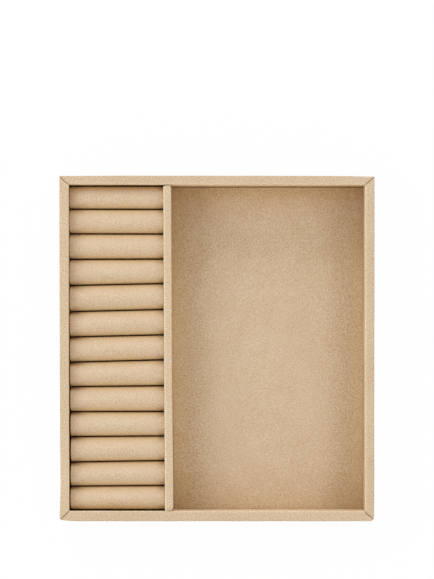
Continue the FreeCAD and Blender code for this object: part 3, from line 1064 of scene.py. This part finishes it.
# Painted shade on the sunk corners: the same, the share of it at the back, and the rolls between
# which it grows
SUNK_SHADE = 1.1
SUNK_FROM = 0.48
SUNK_FULL = 0.84
SUNK_LEAST = 0.6
SUNK_ROLLS = (3, 6)
# Painted shade where a slope faces the front, away from the lamp: which way a place faces where it
# starts and is full, and how deep it is
FRONT_SHADE_FROM = 0.2
FRONT_SHADE_FULL = -0.35
FRONT_SHADE_DEPTH = 0.55
# By the back wall: how far in it is shaded
BACK_SHADE_REACH = 9 * MM
# The browner painted shade on steep sides: how steep a place is where it starts and is full
STEEP_FROM = 0.5
STEEP_FULL = 0.9


def roll_tones(index, low, high):
    """The values that a roll's mesh carries, each with how deep it is at a point."""

    def down_the_gap(vert):
        from_left = max(0.0, vert.co.x - low.x)
        from_right = max(0.0, high.x - vert.co.x)
        from_back = HALF_LENGTH - WALL - vert.co.y
        end = LEFT_SHADE * (1 - LEFT_SHADE_FADE * index / len(ROLL_BODIES))
        end += LEFT_BACK_SHADE * hump(from_back, LEFT_BACK_REACH)
        end *= hump(from_left, LEFT_SHADE_REACH)
        corner = max(hump(from_left, CORNER_REACH), hump(from_right, RIGHT_CORNER_REACH))
        corner *= CORNER_SHADE * ramp(abs(vert.normal.y), CORNER_FROM, CORNER_FULL)
        sunk = SUNK_LEAST + (1 - SUNK_LEAST) * ramp(index, *SUNK_ROLLS)
        sunk *= SUNK_SHADE * hump(from_left, CORNER_REACH)
        sunk *= ramp(vert.normal.y, SUNK_FROM, SUNK_FULL)
        gap = GAP_SHADE * ramp(high.z - vert.co.z, GAP_TOP, GAP_FOOT)
        return min(1.0, max(gap, end, corner, sunk))

    def shade_on_front_slopes(vert):
        from_back = hump(HALF_LENGTH - WALL - vert.co.y, BACK_SHADE_REACH)
        from_back *= ramp(high.z - vert.co.z, GAP_FOOT, GAP_TOP)
        return max(from_back, FRONT_SHADE_DEPTH * ramp(vert.normal.y, FRONT_SHADE_FROM, FRONT_SHADE_FULL))

    def on_steep_sides(vert):
        return ramp(abs(vert.normal.y), STEEP_FROM, STEEP_FULL)

    return {"seam_and_painted_shade": down_the_gap, "shade": shade_on_front_slopes, "painted_warm_shade": on_steep_sides}


# %% Ring rolls
SWELL_CAP = 2.0 * MM
SMOOTHING = 0.3
SMOOTH_LEVELS = 1


def ring_roll(index, body):
    """One cushion, which stands for a sleeve and its foam."""
    low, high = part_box(f"{body}_sleeve")
    place = Vector(((low.x + high.x) / 2, (low.y + high.y) / 2, low.z))
    bm = bmesh.new()
    bm.from_mesh(blown.data)
    for vert, move in zip(bm.verts, swell):
        capped = move * min(1.0, SWELL_CAP / max(move.length, SWELL_CAP))
        vert.co = in_slot(index, vert.co / SIM_SCALE + capped, place)
    axes = {"use_axis_x": True, "use_axis_y": True, "use_axis_z": True}
    bmesh.ops.smooth_vert(bm, verts=bm.verts[:], factor=SMOOTHING, **axes)
    bm.normal_update()
    for value, value_at in roll_tones(index, low, high).items():
        carry(bm, value, value_at)
    nodes = (f"{body}_sleeve", f"{body}_foam")
    piece = finish_piece(bm, f"{body}_cushion", roll_suede_finish, body, *nodes)
    smooth = piece.modifiers.new("smooth", "SUBSURF")
    smooth.levels = SMOOTH_LEVELS
    smooth.render_levels = SMOOTH_LEVELS


for index, body in enumerate(ROLL_BODIES):
    ring_roll(index, body)
bpy.data.objects.remove(blown)

# %% [markdown]
# The photograph's paper is pure white. More light would bleach the suede, so the floor and the world
# show white to the camera by the Light Path node instead, and the floor still takes a faint shadow.
# It lies a hair below the tray, because two faces in one plane flicker. The light on the tray comes
# as from a white tent all round.

# %% Paper and tent
WHITE = (1.0, 1.0, 1.0, 1.0)
PAPER_SIZE = 6.0
PAPER_DROP = 0.2 * MM
PAPER_GLOW = 0.97
PAPER_COLOUR = (0.95, 0.95, 0.95, 1.0)
TENT = 0.91


def seen_share(wire):
    """One for light that goes straight, or by a mirror or glass, to the camera, and else zero."""
    kinds = ("Is Camera Ray", "Is Glossy Ray", "Is Transmission Ray")
    camera, mirror, glass = (wire.node("ShaderNodeLightPath", {}, {}, kind) for kind in kinds)
    return camera + mirror + glass


def studio_paper():
    """The white floor that the tray stands on."""
    bm = bmesh.new()
    bmesh.ops.create_grid(bm, x_segments=1, y_segments=1, size=PAPER_SIZE / 2)
    bmesh.ops.translate(bm, verts=bm.verts[:], vec=(0, 0, -PAPER_DROP))
    mesh = bpy.data.meshes.new("studio_paper")
    bm.to_mesh(mesh)
    bm.free()
    paper = bpy.data.objects.new("studio_paper", mesh)
    bpy.context.scene.collection.objects.link(paper)
    material, shader, wire = new_material("white_paper")
    shader.inputs["Base Color"].default_value = PAPER_COLOUR
    shader.inputs["Roughness"].default_value = 1.0
    glow = wire.node("ShaderNodeEmission", {}, {"Strength": 1.0})
    matt = Wire(wire.tree, shader.outputs["BSDF"])
    share = seen_share(wire) * PAPER_GLOW
    mixed = wire.node("ShaderNodeMixShader", {}, {0: share, 1: matt, 2: glow})
    mixed.plug(wire.tree.nodes["Material Output"], "Surface")
    mesh.materials.append(material)


def tent_light():
    """An even light from all round, which still shows white to the camera."""
    world = bpy.data.worlds.new("white_tent")
    bpy.context.scene.world = world
    world.use_nodes = True
    background = world.node_tree.nodes["Background"]
    background.inputs["Color"].default_value = WHITE
    strength = TENT + seen_share(Wire(world.node_tree)) * (1 - TENT)
    strength.plug(background, "Strength")


studio_paper()
tent_light()
print("paper and tent made")

# %% [markdown]
# One large soft lamp at the back left rounds the rolls and shades the floor by the walls. A small
# lamp would draw hard shadows that the photograph doesn't have. The camera looks straight down from
# well above with a long lens, so the walls hardly lean. It stands over a row of the picture above the
# tray's middle, and the lens shift brings the tray to its place in the frame.

# %% Lamp and camera
LAMP_PLACE = (-1.0, 0.9, 0.85)
LAMP_LENGTH = 1.8
LAMP_WIDTH = 0.7
LAMP_POWER = 3.6
CAMERA_HEIGHT = 2.5
SENSOR = 36 * MM
# Rows of the picture: all of them, the tray's, its middle one and the one right below the camera
IMAGE_ROWS = 579
TRAY_ROWS = 345.4
TRAY_MIDDLE_ROW = 348.3
CAMERA_ROW = 312


def back_lamp():
    """One large soft lamp, aimed at the middle of the rim."""
    data = bpy.data.lights.new("back_lamp", "AREA")
    data.shape = "RECTANGLE"
    data.size = LAMP_LENGTH
    data.size_y = LAMP_WIDTH
    data.energy = LAMP_POWER
    lamp = bpy.data.objects.new("back_lamp", data)
    lamp.location = LAMP_PLACE
    aim = Vector((0, 0, RIM)) - lamp.location
    lamp.rotation_euler = aim.to_track_quat("-Z", "Y").to_euler()
    bpy.context.scene.collection.objects.link(lamp)


def overhead_camera():
    """A long lens that looks straight down, with the tray a little below its middle."""
    row = 2 * HALF_LENGTH / TRAY_ROWS
    data = bpy.data.cameras.new("overhead")
    data.sensor_fit = "AUTO"
    data.sensor_width = SENSOR / MM
    data.lens = SENSOR / MM * CAMERA_HEIGHT / (row * IMAGE_ROWS)
    data.shift_y = (CAMERA_ROW - IMAGE_ROWS / 2) / IMAGE_ROWS
    camera = bpy.data.objects.new("overhead", data)
    camera.location = (0, (TRAY_MIDDLE_ROW - CAMERA_ROW) * row, RIM + CAMERA_HEIGHT)
    bpy.context.scene.collection.objects.link(camera)
    bpy.context.scene.camera = camera
    print(f"lens of {data.lens:.0f} mm, {CAMERA_HEIGHT} m above the rim")


back_lamp()
overhead_camera()
bpy.context.scene.view_settings.view_transform = "Standard"
